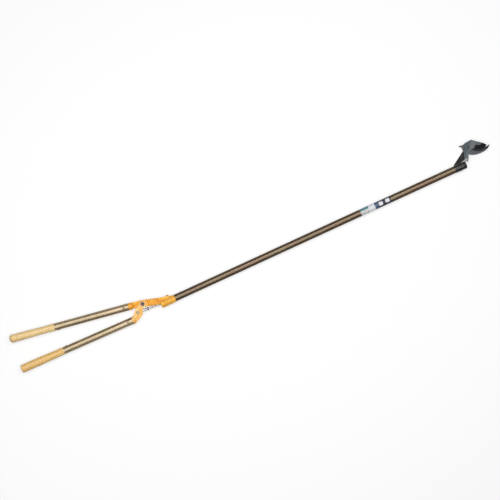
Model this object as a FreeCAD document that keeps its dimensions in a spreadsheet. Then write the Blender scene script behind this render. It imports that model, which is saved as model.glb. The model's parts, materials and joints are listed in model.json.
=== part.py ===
import FreeCAD, Part
import math
import os
import re
import Sketcher
from FreeCAD import Placement, Rotation, Vector

# Two-handed long-reach pruner: a fixed pole, a die-cast handle bracket with one fixed and one
# moving handle at the rear, and a bypass head at the front, worked by a rod inside the pole.
# Working frame: X along the pole towards the head, from the bracket's front lip; Y towards the
# fixed handle; Z along the pivot bolts, from the middle plane. Millimetres and degrees.

os.makedirs("parts", exist_ok=True)
doc = FreeCAD.newDocument("long_reach_pruner")

SIZES = {
    # pole
    "pole_od": 25,
    "pole_wall": 1.5,
    "pole_length": 1188,
    "pole_insert": 50,
    # bracket
    "socket_wall": 2,
    "lip_wall": 0.6,
    "lip_taper": 14,
    "socket_floor": 7,
    "rod_passage": 16,
    "arm_thick": 10,
    "arm_wide": 16,
    "arm_recess": 2.2,
    "arm_round": 2.5,
    "socket_bevel": 4,
    "ring_deep": 0.8,
    "ring_wide": 2.4,
    "ring_pitch": 5.5,
    "ring_count": 6,
    "first_ring_behind": 18.5,
    "channel_wide": 9.2,
    "screw_behind": 24,
    "screw_boss_r": 6.5,
    "screw_boss_up": 20.5,
    "pole_screw_d": 4.2,
    # handle pivot and crank
    "pivot_behind": 115,
    "pivot_up": 29.5,
    "link_pin_behind": 143,
    "link_pin_up": 9,
    "pivot_bolt_d": 8,
    "pivot_flats": 13,
    "pivot_head": 3.8,
    "pivot_nut": 4,
    "washer_thick": 1,
    "washer_r": 8,
    "pivot_boss_r": 12.9,
    "cheek_thick": 4,
    "cheek_gap": 0.3,
    "turning_gap": 0.05,
    "link_pin_d": 6,
    "clip_thick": 1,
    # handles
    "tube_od": 26,
    "tube_wall": 1.5,
    "spigot_length": 36,
    "fixed_root_behind": 165.4,
    "fixed_root_up": 41.1,
    "fixed_rise": 9.34,
    "fixed_tube_length": 273.6,
    "fixed_grip_length": 166,
    "lever_root_behind": 172.6,
    "lever_root_down": 9.8,
    "lever_rise": 1,
    "lever_tube_length": 267.2,
    "lever_grip_length": 165,
    "grip_od": 30,
    "grip_neck_od": 27,
    "grip_collar_long": 20,
    "tenon_length": 38,
    "grip_screw_back": 13,
    "grip_screw_d": 3.6,
    "tube_rivet_out": 17,
    "tube_rivet_d": 4.8,
    # rod train
    "rod_d": 6,
    "rod_pin_behind": 36,
    "rod_front_behind": 33.5,
    "rod_pin_d": 5,
    "rear_play": 1.4,
    "front_play": 1.05,
    "lock_nut_out": 36,
    "lock_nut_thick": 5,
    "rod_nut_thick": 4,
    "rod_nut_flats": 10,
    "clevis_d": 14.4,
    "bush_length": 15,
    # head
    "ferrule_wall": 1.3,
    "ferrule_length": 41,
    "ferrule_overhang": 2,
    "slot_wide": 13,
    "head_arm_thick": 4,
    "hook_thick": 5,
    "blade_thick": 3.6,
    "plate_gap": 0.3,
    "blade_pivot_ahead": 32.5,
    "blade_pivot_up": 53.5,
    "tang_pin_behind": 18.7,
    "tang_pin_down": 38.2,
    "strap_thick": 2,
    "strap_high": 10,
    "head_bolt_d": 8,
    "head_bolt_head": 3.5,
    "head_bolt_head_r": 7,
    "head_washer_r": 9,
    "head_nut": 3.5,
    "rivet_head": 1,
    "hex_crown": 1.2,
    "blade_grind_r": 35.6,
    "blade_grind": 12,
    "blade_edge": 0.4,
    "hook_rivet_d": 5,
    "hook_rivet_behind": 9.5,
    "hook_rivet_down": 12.5,
    "arm_rib_high": 1.4,
    "ferrule_rivet_d": 4,
    "ferrule_rivet_back": 32,
    "side_rivet_back": 22,
    "link_slot_back": 20,
}

sheet = doc.addObject("Spreadsheet::Sheet", "sizes")
for row, (alias, number) in enumerate(SIZES.items(), start=1):
    sheet.set(f"A{row}", alias.replace("_", " "))
    sheet.set(f"B{row}", str(number))
    sheet.setAlias(f"B{row}", alias)
doc.recompute()

WORD = re.compile(r"[a-z][a-z0-9_]*")


def formula(text):
    """Point each size named in a formula at its cell in the sheet."""
    return WORD.sub(lambda word: f"sizes.{word[0]}" if word[0] in SIZES else word[0], str(text))


def value(text):
    """Work out a formula over the sheet's sizes."""
    return float(sheet.evalExpression(formula(text)))


parts = []


def new_body(label):
    body = doc.addObject("PartDesign::Body", label)
    body.Label = label
    parts.append(body)
    return body


def origin_plane(body, role):
    return next(item for item in body.Origin.OriginFeatures if item.Role == role)


def new_sketch(body, name, role, turn, origin, lift=0):
    """Attach a sketch to one of the body's own planes, moved and turned in it and lifted off it."""
    sketch = body.newObject("Sketcher::SketchObject", name)
    sketch.AttachmentSupport = [(origin_plane(body, role), "")]
    sketch.MapMode = "FlatFace"
    base = Vector(value(origin[0]), value(origin[1]), value(lift))
    sketch.AttachmentOffset = Placement(base, Rotation(Vector(0, 0, 1), turn))
    sketch.Visibility = False
    return sketch


def bind(sketch, constraint, text):
    sketch.setExpression(f"Constraints[{sketch.addConstraint(constraint)}]", formula(text))


def edge_between(start, end, radius):
    """A straight edge, or an arc that runs anticlockwise for a positive radius.

    Returns the edge and which of its ends are the start and the end: an arc is stored
    anticlockwise whichever way the outline runs along it.
    """
    if not radius:
        return Part.LineSegment(start, end), 1, 2
    chord = end - start
    side = Vector(-chord.y, chord.x, 0).normalize() * math.copysign(1, radius)
    centre = (start + end) / 2 + side * math.sqrt(radius**2 - (chord.Length / 2) ** 2)
    first, last = (start, end) if radius > 0 else (end, start)
    angles = [math.atan2(point.y - centre.y, point.x - centre.x) for point in (first, last)]
    arc = Part.ArcOfCircle(Part.Circle(centre, Vector(0, 0, 1), abs(radius)), *angles)
    return arc, (1 if radius > 0 else 2), (2 if radius > 0 else 1)


def outline(body, name, corners, role="XY_Plane", turn=0, origin=(0, 0), lift=0):
    """Sketch a closed outline. A corner is (x, y), or (x, y, radius) for an arc to the next."""
    sketch = new_sketch(body, name, role, turn, origin, lift)
    places = [Vector(value(corner[0]), value(corner[1]), 0) for corner in corners]
    ends = []
    for index, corner in enumerate(corners):
        radius = value(corner[2]) if len(corner) > 2 else 0
        after = places[(index + 1) % len(places)]
        edge, first, last = edge_between(places[index], after, radius)
        sketch.addGeometry(edge, False)
        ends.append((first, last))
    for index, corner in enumerate(corners):
        after = (index + 1) % len(corners)
        join = Sketcher.Constraint("Coincident", index, ends[index][1], after, ends[after][0])
        sketch.addConstraint(join)
        for kind, text in zip(("DistanceX", "DistanceY"), corner):
            tie = Sketcher.Constraint(kind, -1, 1, index, ends[index][0], value(text))
            bind(sketch, tie, text)
        if len(corner) > 2:
            tie = Sketcher.Constraint("Radius", index, abs(value(corner[2])))
            bind(sketch, tie, f"abs({corner[2]})")
    return sketch


def circle(body, name, x, y, radius, role="XY_Plane"):
    sketch = new_sketch(body, name, role, 0, (0, 0))
    centre = Vector(value(x), value(y), 0)
    sketch.addGeometry(Part.Circle(centre, Vector(0, 0, 1), value(radius)), False)
    bind(sketch, Sketcher.Constraint("DistanceX", -1, 1, 0, 3, centre.x), x)
    bind(sketch, Sketcher.Constraint("DistanceY", -1, 1, 0, 3, centre.y), y)
    bind(sketch, Sketcher.Constraint("Radius", 0, value(radius)), radius)
    return sketch


def revolve(body, sketch, kind="Revolution", axis="H_Axis"):
    """Turn a sketched profile right round: a Revolution adds it and a Groove cuts it."""
    turn = body.newObject(f"PartDesign::{kind}", f"{sketch.Name}_turned")
    turn.Profile = sketch
    turn.ReferenceAxis = (sketch, [axis])
    turn.Angle = 360
    return turn


def pad(body, sketch, low, high):
    """Raise a sketch from one height to another."""
    sketch.setExpression("AttachmentOffset.Base.z", formula(low))
    feature = body.newObject("PartDesign::Pad", f"{sketch.Name}_pad")
    feature.Profile = sketch
    feature.setExpression("Length", formula(f"({high}) - ({low})"))
    return feature


def hollow(body, sketch, low, high):
    """Cut a sketch away from one height to another."""
    sketch.setExpression("AttachmentOffset.Base.z", formula(high))
    feature = body.newObject("PartDesign::Pocket", f"{sketch.Name}_hollow")
    feature.Profile = sketch
    feature.setExpression("Length", formula(f"({high}) - ({low})"))
    return feature


def cut(body, sketch, depth):
    """Cut a sketch right through, half the depth to each side of its plane."""
    feature = body.newObject("PartDesign::Pocket", f"{sketch.Name}_cut")
    feature.Profile = sketch
    feature.SideType = "Symmetric"
    feature.setExpression("Length", formula(depth))
    return feature


def turned(label, profile, about="x"):
    """A part turned on a lathe. The profile is (along, radius) about x, (radius, along) if not."""
    body = new_body(label)
    role = "XZ_Plane" if about == "z" else "XY_Plane"
    sketch = outline(body, f"{label}_profile", profile, role)
    revolve(body, sketch, axis="H_Axis" if about == "x" else "V_Axis")
    return body


def both_ends(label, upper):
    """A rivet along Z that is the same at both ends, from the profile of its upper half."""
    lower = [(radius, f"-({along})") for radius, along in reversed(upper)]
    return turned(label, lower + upper, "z")


def sleeve(label, inner, outer, low, high, about="x"):
    """A plain ring, tube or solid bar, by its two radii and its two ends."""
    corners = [(low, inner), (high, inner), (high, outer), (low, outer)]
    if about != "x":
        corners = [(radius, along) for along, radius in corners]
    return turned(label, corners, about)


def round_rims(body, feature, radius, *heights):
    """Round the edges of a raised sketch that lie at the given heights."""
    doc.recompute()
    levels = [value(height) for height in heights]
    rims = [f"Edge{index}" for index, edge in enumerate(feature.Shape.Edges, start=1)
            if any(abs(edge.BoundBox.ZMin - level) < 0.01 and abs(edge.BoundBox.ZMax - level) < 0.01
                   for level in levels)]
    fillet = body.newObject("PartDesign::Fillet", f"{feature.Name}_round")
    fillet.Base = (feature, rims)
    fillet.setExpression("Radius", formula(radius))
    return fillet


def dome(radius, face, rise):
    """The profile of a low domed head, from its rim on a face to its top."""
    steps = [(f"({radius}) * cos({angle})", f"({face}) + ({rise}) * sin({angle})")
             for angle in (0, 30, 60)]
    return steps + [(0, f"({face}) + ({rise})")]


def hexagon(flats):
    return [(f"({flats}) / sqrt(3) * cos({60 * step})", f"({flats}) / sqrt(3) * sin({60 * step})")
            for step in range(6)]


def crown(body, name, flats, face, back, about="z"):
    """Turn off a hexagon's corners towards one face, as on a bolt head or nut."""
    corner = f"({flats}) / sqrt(3) + 1"
    profile = [(f"({flats}) / 2 - 0.2", face), (corner, face), (corner, back)]
    if about == "x":
        profile = [(along, radius) for radius, along in profile]
    role = "XZ_Plane" if about == "z" else "XY_Plane"
    sketch = outline(body, name, profile, role)
    return revolve(body, sketch, "Groove", "V_Axis" if about == "z" else "H_Axis")


def hex_nut(label, flats, bore, low, high):
    """A hexagon nut along Z, crowned below."""
    body = new_body(label)
    pad(body, outline(body, f"{label}_hex", hexagon(flats)), low, high)
    crown(body, f"{label}_crown", flats, low, f"{low} + hex_crown")
    cut(body, circle(body, f"{label}_bore", 0, 0, bore), f"4 * ({flats})")
    return body


def rod_nut(label, low, high):
    """A hexagon nut on the rod's thread, along X."""
    body = new_body(label)
    sketch = outline(body, f"{label}_hex", hexagon("rod_nut_flats"), "YZ_Plane")
    pad(body, sketch, low, high)
    crown(body, f"{label}_rear_crown", "rod_nut_flats", low, f"{low} + hex_crown", "x")
    crown(body, f"{label}_front_crown", "rod_nut_flats", high, f"{high} - hex_crown", "x")
    bore = circle(body, f"{label}_bore", 0, 0, "rod_d / 2", "YZ_Plane")
    cut(body, bore, "1000")
    return body


def place(body, x=0, y=0, z=0, turn=0):
    base = Vector(value(x), value(y), value(z))
    body.Placement = Placement(base, Rotation(Vector(0, 0, 1), turn))
    return body


def on_fixed_handle(body):
    return place(body, "-fixed_root_behind", "fixed_root_up", 0, 180 - value("fixed_rise"))


def on_lever_handle(body):
    return place(body, "-lever_root_behind", "-lever_root_down", 0, 180 - value("lever_rise"))


def on_head(body):
    """Place a part at the middle of the pole's front end."""
    return place(body, "pole_length - pole_insert")


def on_blade_pivot(body):
    return place(body, "pole_length - pole_insert + blade_pivot_ahead", "blade_pivot_up")


def bore(body, name, x, radius, low, high, about="y"):
    """Bore a round hole along Y or Z, centred at x, from one distance to another."""
    role = "XY_Plane" if about == "y" else "XZ_Plane"
    corners = [(0, low), (radius, low), (radius, high), (0, high)]
    return revolve(body, outline(body, name, corners, role, 0, (x, 0)), "Groove", "V_Axis")


def box_outline(body, name, left, right, bottom, top, role="XY_Plane"):
    corners = [(left, bottom), (right, bottom), (right, top), (left, top)]
    return outline(body, name, corners, role)


# ---- Pole ------------------------------------------------------------------------------

POLE_R = "pole_od / 2"
POLE_BORE = "(pole_od / 2 - pole_wall)"
POLE_FRONT = "(pole_length - pole_insert)"

pole = sleeve("main_pole", POLE_BORE, POLE_R, "-pole_insert", POLE_FRONT)
cut(pole, box_outline(pole, "link_slot", f"{POLE_FRONT} - link_slot_back", f"{POLE_FRONT} + 1",
                      0, "pole_od"), "slot_wide")
bore(pole, "pole_screw_hole", "-screw_behind", "pole_screw_d / 2", 0, "pole_od")
bore(pole, "ferrule_rivet_hole", f"{POLE_FRONT} - ferrule_rivet_back", "ferrule_rivet_d / 2",
     "-pole_od", 0, "z")
bore(pole, "side_rivet_hole", f"{POLE_FRONT} - side_rivet_back", "ferrule_rivet_d / 2",
     "-pole_od", 0)

# ---- Fixed bracket -----------------------------------------------------------------------

SOCKET_R = "(pole_od / 2 + socket_wall)"
LIP_R = "(pole_od / 2 + lip_wall)"
SOCKET_BACK = "(pole_insert + socket_floor)"
TUBE_BORE = "(tube_od / 2 - tube_wall)"

bracket = new_body("fixed_bracket")
thin_arm = pad(bracket, outline(bracket, "thin_arm", [
    ("-90", "13"),
    ("-90", "35"),
    ("-106", "42"),
    ("-148", "50.5"),
    ("-148", "25"),
    ("-106", "15")]), "-arm_thick / 2", "arm_thick / 2")
round_rims(bracket, thin_arm, "arm_round / 2", "-arm_thick / 2", "arm_thick / 2")
wide_arm = pad(bracket, outline(bracket, "wide_arm", [
    ("-20", "8"),
    ("-17", "15"),
    ("-31", "20.3"),
    ("-50", "24.5"),
    ("-100", "40", "-19"),
    ("-100", "13"),
    (f"-{SOCKET_BACK}", "1.5"),
    ("-45", "0")]), "-arm_wide / 2", "arm_wide / 2")
round_rims(bracket, wide_arm, "arm_round", "-arm_wide / 2", "arm_wide / 2")
for side, low, high in (("upper", "arm_wide / 2 - arm_recess", "arm_wide / 2 + 1"),
                        ("lower", "-arm_wide / 2 - 1", "arm_recess - arm_wide / 2")):
    hollow(bracket, outline(bracket, f"{side}_recess", [
        ("-59", "23.5"),
        ("-90", "33", "-24.4"),
        ("-92", "14.6"),
        ("-59", "5.8")]), low, high)
rings = [corner for ring in reversed(range(round(value("ring_count")))) for corner in (
    (f"-first_ring_behind - ring_pitch * {ring} - ring_wide / 2", SOCKET_R),
    (f"-first_ring_behind - ring_pitch * {ring} - ring_wide / 4", f"{SOCKET_R} - ring_deep"),
    (f"-first_ring_behind - ring_pitch * {ring} + ring_wide / 4", f"{SOCKET_R} - ring_deep"),
    (f"-first_ring_behind - ring_pitch * {ring} + ring_wide / 2", SOCKET_R))]
revolve(bracket, outline(bracket, "socket", [
    (f"-{SOCKET_BACK}", 0),
    (f"-{SOCKET_BACK}", f"{SOCKET_R} - socket_bevel"),
    (f"-{SOCKET_BACK} + socket_bevel", SOCKET_R),
    *rings,
    ("-lip_taper", SOCKET_R),
    (0, LIP_R),
    (0, 0)]))
revolve(bracket, outline(bracket, "fixed_spigot", [
    (-26, 0),
    (-24, "arm_thick / 2"),
    (-12, "tube_od / 2"),
    (0, "tube_od / 2"),
    (0, TUBE_BORE),
    ("spigot_length - 2", TUBE_BORE),
    ("spigot_length", f"{TUBE_BORE} - 2"),
    ("spigot_length", 0)],
    "XY_Plane", 180 - value("fixed_rise"), ("-fixed_root_behind", "fixed_root_up")))
revolve(bracket, outline(bracket, "screw_boss", [
    (0, 8),
    ("screw_boss_r", 8),
    ("screw_boss_r", "screw_boss_up"),
    (0, "screw_boss_up")], "XY_Plane", 0, ("-screw_behind", 0)), axis="V_Axis")
revolve(bracket, outline(bracket, "pole_bore", [
    ("-pole_insert", 0),
    (1, 0),
    (1, POLE_R),
    ("-pole_insert", POLE_R)]), "Groove")
revolve(bracket, outline(bracket, "rod_way", [
    (f"-{SOCKET_BACK} - 1", 0),
    ("-pole_insert + 1", 0),
    ("-pole_insert + 1", "rod_passage / 2"),
    (f"-{SOCKET_BACK} - 1", "rod_passage / 2")]), "Groove")
cut(bracket, box_outline(bracket, "rod_channel", f"-{SOCKET_BACK} - 32", f"-{SOCKET_BACK}",
                         -20, 8), "channel_wide")
cut(bracket, circle(bracket, "pivot_hole", "-pivot_behind", "pivot_up", "pivot_bolt_d / 2"), "60")
cut(bracket, circle(bracket, "spigot_rivet_hole",
                    "-fixed_root_behind - tube_rivet_out * cos(fixed_rise)",
                    "fixed_root_up + tube_rivet_out * sin(fixed_rise)", "tube_rivet_d / 2"), "60")
bore(bracket, "screw_way", "-screw_behind", "pole_screw_d / 2", 5, 40)

pole_screw = place(turned("pole_screw", [
    (0, f"{POLE_BORE} - 1.5"),
    ("pole_screw_d / 2 - 0.8", f"{POLE_BORE} - 1.5"),
    ("pole_screw_d / 2", f"{POLE_BORE} - 0.5"),
    ("pole_screw_d / 2", "screw_boss_up"),
    *dome("pole_screw_d", "screw_boss_up", 2.8)], "y"), "-screw_behind")

# ---- Handle pivot ------------------------------------------------------------------------

CHEEK_IN = "(arm_thick / 2 + cheek_gap)"
CHEEK_OUT = f"({CHEEK_IN} + cheek_thick)"
WASHER_IN = f"({CHEEK_OUT} + cheek_gap)"
WASHER_OUT = f"({WASHER_IN} + washer_thick)"

handle_bolt = place(new_body("handle_bolt"), "-pivot_behind", "pivot_up")
pad(handle_bolt, outline(handle_bolt, "handle_bolt_hex", hexagon("pivot_flats")),
    WASHER_OUT, f"{WASHER_OUT} + pivot_head")
crown(handle_bolt, "handle_bolt_crown", "pivot_flats", f"{WASHER_OUT} + pivot_head",
      f"{WASHER_OUT} + pivot_head - hex_crown")
pad(handle_bolt, circle(handle_bolt, "handle_bolt_shank", 0, 0, "pivot_bolt_d / 2"),
    f"-{WASHER_OUT} - pivot_nut - 0.4", f"{WASHER_OUT} + 0.1")
place(hex_nut("handle_nut", "pivot_flats", "pivot_bolt_d / 2",
              f"-{WASHER_OUT} - pivot_nut", f"-{WASHER_OUT}"), "-pivot_behind", "pivot_up")
for label, low, high in (("handle_washer_upper", WASHER_IN, WASHER_OUT),
                         ("handle_washer_lower", f"-{WASHER_OUT}", f"-{WASHER_IN}")):
    place(sleeve(label, "pivot_bolt_d / 2", "washer_r", low, high, "z"), "-pivot_behind", "pivot_up")

# ---- Fixed handle ------------------------------------------------------------------------


def handle_tube(label, length, side):
    tube = sleeve(label, TUBE_BORE, "tube_od / 2", 0, length)
    cut(tube, circle(tube, f"{label}_rivet_hole", "tube_rivet_out", 0, "tube_rivet_d / 2"), 60)
    reach = ("-tube_od", 0) if side < 0 else (0, "tube_od")
    bore(tube, f"{label}_screw_hole", f"{length} - grip_screw_back", "grip_screw_d / 2", *reach)
    return tube


def grip_screw(label, length, side):
    """A round-head wood screw through the tube's wall into the grip's tenon."""
    profile = [
        (0, "tube_od / 2 - 8"),
        ("grip_screw_d / 2 - 1", "tube_od / 2 - 7"),
        ("grip_screw_d / 2", "tube_od / 2 - 5"),
        ("grip_screw_d / 2", "tube_od / 2"),
        *dome("grip_screw_d", "tube_od / 2", 1.8)]
    screw = turned(label, [(radius, f"{side} * ({along})") for radius, along in profile], "y")
    return screw, f"{length} - grip_screw_back"


def tube_rivet(label):
    """A rivet through the tube and the casting's spigot, with a low head each side."""
    return both_ends(label, [
        ("tube_rivet_d / 2", "tube_od / 2"),
        *dome("tube_rivet_d / 2 + 1.6", "tube_od / 2", "rivet_head")])


def along_handle(body, start, turn_onto):
    """Put a handle's part at its distance from the casting."""
    turn_onto(body)
    step = body.Placement.Rotation.multVec(Vector(value(start), 0, 0))
    body.Placement.Base = body.Placement.Base + step
    return body


def drill_grip(grip, label, side):
    reach = ("tube_od / 2 - 8", "tube_od") if side > 0 else ("-tube_od", "8 - tube_od / 2")
    bore(grip, f"{label}_pilot", "-grip_screw_back", "grip_screw_d / 2", *reach)


on_fixed_handle(handle_tube("fixed_tube", "fixed_tube_length", 1))
along_handle(tube_rivet("fixed_tube_rivet"), "tube_rivet_out", on_fixed_handle)

fixed_grip = turned("fixed_grip", [
    ("-tenon_length", 0),
    ("-tenon_length", f"{TUBE_BORE} - 1"),
    ("-tenon_length + 1", TUBE_BORE),
    (0, TUBE_BORE),
    (0, "tube_od / 2"),
    (1.5, "tube_od / 2 + 0.9"),
    ("grip_collar_long", "tube_od / 2 + 0.9"),
    ("grip_collar_long + 3", "grip_neck_od / 2 - 0.5"),
    ("3 * grip_collar_long", "grip_neck_od / 2 + 0.2"),
    ("fixed_grip_length - 28", "grip_od / 2"),
    ("fixed_grip_length - 26", "grip_od / 2 - 1.3"),
    ("fixed_grip_length - 24", "grip_od / 2"),
    *[(along, radius) for radius, along in dome("grip_od / 2", "fixed_grip_length - 9", 10)]])
drill_grip(fixed_grip, "fixed_grip", 1)
along_handle(fixed_grip, "fixed_tube_length", on_fixed_handle)
screw, screw_out = grip_screw("fixed_grip_screw", "fixed_tube_length", 1)
along_handle(screw, screw_out, on_fixed_handle)

# ---- Lever -------------------------------------------------------------------------------

lever = new_body("lever_casting")
pad(lever, outline(lever, "cheeks", [
    ("-pivot_behind - pivot_boss_r * cos(54)", "pivot_up + pivot_boss_r * sin(54)", "-pivot_boss_r"),
    ("-pivot_behind + pivot_boss_r", "pivot_up", "-pivot_boss_r"),
    ("-pivot_behind - pivot_boss_r * cos(76)", "pivot_up - pivot_boss_r * sin(76)"),
    (-128, -1, "-40"),
    (-141, -12.5),
    (-153, -17.5),
    (-163, -22),
    (-163, 3.2, "-30"),
    (-153, 15, "-40"),
    (-144, 23)]), f"-{CHEEK_OUT}", CHEEK_OUT)
cut(lever, outline(lever, "cheek_slot", [
    (-165, 14.8),
    (-139.1, -11.1),
    (-90, -11.1),
    (-90, 60),
    (-165, 60)]), f"2 * {CHEEK_IN}")
revolve(lever, outline(lever, "lever_collar", [
    (-13, 0),
    (-13, 9),
    (-9.5, "tube_od / 2"),
    (-8, "tube_od / 2"),
    (-6.5, "tube_od / 2 + 1.4"),
    (-1.5, "tube_od / 2 + 1.4"),
    (0, "tube_od / 2 + 0.3"),
    (0, TUBE_BORE),
    ("spigot_length - 2", TUBE_BORE),
    ("spigot_length", f"{TUBE_BORE} - 2"),
    ("spigot_length", 0)],
    "XY_Plane", 180 - value("lever_rise"), ("-lever_root_behind", "-lever_root_down")))
cut(lever, circle(lever, "pivot_bore", "-pivot_behind", "pivot_up",
                  "pivot_bolt_d / 2 + turning_gap"), 60)
cut(lever, circle(lever, "link_pin_bore", "-link_pin_behind", "link_pin_up", "link_pin_d / 2"), 60)
cut(lever, circle(lever, "lever_rivet_hole",
                  "-lever_root_behind - tube_rivet_out * cos(lever_rise)",
                  "-lever_root_down + tube_rivet_out * sin(lever_rise)", "tube_rivet_d / 2"), 60)

on_lever_handle(handle_tube("lever_tube", "lever_tube_length", -1))
along_handle(tube_rivet("lever_tube_rivet"), "tube_rivet_out", on_lever_handle)
lever_grip = turned("lever_grip", [
    ("-tenon_length", 0),
    ("-tenon_length", f"{TUBE_BORE} - 1"),
    ("-tenon_length + 1", TUBE_BORE),
    (0, TUBE_BORE),
    (0, "tube_od / 2"),
    (2, "grip_neck_od / 2"),
    ("lever_grip_length - 62", "grip_od / 2"),
    ("lever_grip_length - 2.5", "grip_od / 2"),
    ("lever_grip_length", "grip_od / 2 - 2.5"),
    ("lever_grip_length", 0)])
drill_grip(lever_grip, "lever_grip", -1)
along_handle(lever_grip, "lever_tube_length", on_lever_handle)
screw, screw_out = grip_screw("lever_grip_screw", "lever_tube_length", -1)
along_handle(screw, screw_out, on_lever_handle)

place(turned("link_pin", [
    (0, f"-{CHEEK_OUT} - clip_thick - 1.2"),
    ("link_pin_d / 2", f"-{CHEEK_OUT} - clip_thick - 1.2"),
    ("link_pin_d / 2", CHEEK_OUT),
    *dome("link_pin_d / 2 + 2", CHEEK_OUT, 3)], "z"), "-link_pin_behind", "link_pin_up")
place(sleeve("link_pin_clip", "link_pin_d / 2", "link_pin_d / 2 + 2", f"-{CHEEK_OUT} - clip_thick",
             f"-{CHEEK_OUT}", "z"), "-link_pin_behind", "link_pin_up")

# ---- Rear link ---------------------------------------------------------------------------

LINK_LENGTH = "sqrt((link_pin_behind - rod_pin_behind) ^ 2 + link_pin_up ^ 2)"
link_turn = -math.degrees(math.asin(value("link_pin_up") / value(LINK_LENGTH)))


def on_link(body):
    return place(body, "-link_pin_behind", "link_pin_up", 0, link_turn)


link_eye = new_body("link_eye")
revolve(link_eye, outline(link_eye, "eye_shank", [
    (0, 0),
    (0, 3),
    (8, 4.5),
    ("lock_nut_out", 4.5),
    ("lock_nut_out", 0)]))
pad(link_eye, circle(link_eye, "eye_ring", 0, 0, 8), -4, 4)
cut(link_eye, circle(link_eye, "eye_bore", 0, 0, "link_pin_d / 2 + turning_gap"), 40)
revolve(link_eye, outline(link_eye, "eye_thread", [
    ("lock_nut_out - 16", 0),
    ("lock_nut_out + 1", 0),
    ("lock_nut_out + 1", "rod_d / 2"),
    ("lock_nut_out - 16", "rod_d / 2")]), "Groove")
on_link(link_eye)
on_link(rod_nut("lock_nut", "lock_nut_out", "lock_nut_out + lock_nut_thick"))

rear_link = new_body("rear_link")
revolve(rear_link, outline(rear_link, "link_rod", [
    ("lock_nut_out - 16", 0),
    ("lock_nut_out - 16", "rod_d / 2"),
    (f"{LINK_LENGTH} - 10", "rod_d / 2"),
    (f"{LINK_LENGTH} - 10", 0)]))
pad(rear_link, outline(rear_link, "link_tongue", [
    (f"{LINK_LENGTH} - 12", -3),
    (f"{LINK_LENGTH}", -6.5, 6.5),
    (f"{LINK_LENGTH} + 6.5", 0, 6.5),
    (f"{LINK_LENGTH}", 6.5),
    (f"{LINK_LENGTH} - 12", 3)]), -1.9, 1.9)
cut(rear_link, circle(rear_link, "tongue_hole", LINK_LENGTH, 0, "rod_pin_d / 2 + rear_play"), 40)
on_link(rear_link)

# ---- Pull rod ----------------------------------------------------------------------------

ROD_FRONT = f"({POLE_FRONT} - rod_front_behind)"

clevis = new_body("rod_clevis")
revolve(clevis, outline(clevis, "clevis_round", [
    (-7, 0),
    (-7, "clevis_d / 2 - 1.5"),
    (-5.5, "clevis_d / 2"),
    (14, "clevis_d / 2"),
    (18, "clevis_d / 2 - 2"),
    (18, 0)]))
cut(clevis, box_outline(clevis, "fork", -8, 9, -10, 10), 4.6)
cut(clevis, circle(clevis, "clevis_bore", 0, 0, "rod_pin_d / 2"), 40)
revolve(clevis, outline(clevis, "clevis_thread", [
    (8, 0),
    (19, 0),
    (19, "rod_d / 2"),
    (8, "rod_d / 2")]), "Groove")
place(clevis, "-rod_pin_behind")
place(sleeve("clevis_pin", 0, "rod_pin_d / 2", "-clevis_d / 2 + 0.5", "clevis_d / 2 - 0.5", "z"),
      "-rod_pin_behind")
place(rod_nut("rear_rod_nut", 18, "18 + rod_nut_thick"), "-rod_pin_behind")
sleeve("pull_rod", 0, "rod_d / 2", "-rod_pin_behind + 10", f"{ROD_FRONT} - 12")

rod_eye = new_body("rod_eye")
revolve(rod_eye, outline(rod_eye, "rod_eye_shank", [
    (-24, 0),
    (-24, 4.5),
    (-10, 4.5),
    (-10, 0)]))
pad(rod_eye, outline(rod_eye, "rod_eye_tongue", [
    (-11, -4),
    (0, -6.2, 6.2),
    (6.2, 0, 6.2),
    (0, 6.2),
    (-11, 4)]), "-blade_thick / 2", "blade_thick / 2")
cut(rod_eye, circle(rod_eye, "rod_eye_hole", 0, 0, "rod_pin_d / 2 + front_play"), 40)
revolve(rod_eye, outline(rod_eye, "rod_eye_thread", [
    (-25, 0),
    (-12, 0),
    (-12, "rod_d / 2"),
    (-25, "rod_d / 2")]), "Groove")
place(rod_eye, ROD_FRONT)
place(rod_nut("front_rod_nut", "-24 - rod_nut_thick", -24), ROD_FRONT)

# Guide bushes, pressed into the pole along its length.
bush_places = {"rear": "22", "mid_rear": f"{POLE_FRONT} / 3", "mid_front": f"{POLE_FRONT} * 2 / 3",
               "front": f"{POLE_FRONT} - 95"}
for name, middle in bush_places.items():
    sleeve(f"rod_bush_{name}", "rod_d / 2 + turning_gap", POLE_BORE,
           f"{middle} - bush_length / 2", f"{middle} + bush_length / 2")

# ---- Head socket -------------------------------------------------------------------------

FERRULE_R = "(pole_od / 2 + ferrule_wall)"
BLADE_BACK = "(blade_thick / 2)"
HOOK_TOP = f"({BLADE_BACK} + plate_gap)"
HOOK_LOW = f"({HOOK_TOP} + hook_thick)"
ARM_LOW = f"({HOOK_LOW} + head_arm_thick)"

socket = new_body("head_socket")
P_X = "blade_pivot_ahead"
P_Y = "blade_pivot_up"
HOOK_RIVET = (f"({P_X} - hook_rivet_behind)", f"({P_Y} - hook_rivet_down)")
revolve(socket, outline(socket, "ferrule", [
    ("ferrule_overhang - ferrule_length", 0),
    ("ferrule_overhang - ferrule_length", FERRULE_R),
    ("ferrule_overhang", FERRULE_R),
    ("ferrule_overhang", 0)]))
pad(socket, outline(socket, "head_arm", [
    (-38.5, 1),
    (2, 1),
    (3, 11),
    (10, 19),
    (f"{P_X} + 12.5 * cos(50)", f"{P_Y} - 12.5 * sin(50)", "12.5"),
    (f"{P_X} + 12.5 * cos(40)", f"{P_Y} + 12.5 * sin(40)", "12.5"),
    (f"{P_X} - 12.5 * cos(30)", f"{P_Y} + 12.5 * sin(30)"),
    (13, 47),
    (-36, 16, "12"),
    (-38.5, 8)]), f"-{ARM_LOW}", f"-{HOOK_LOW}")
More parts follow.
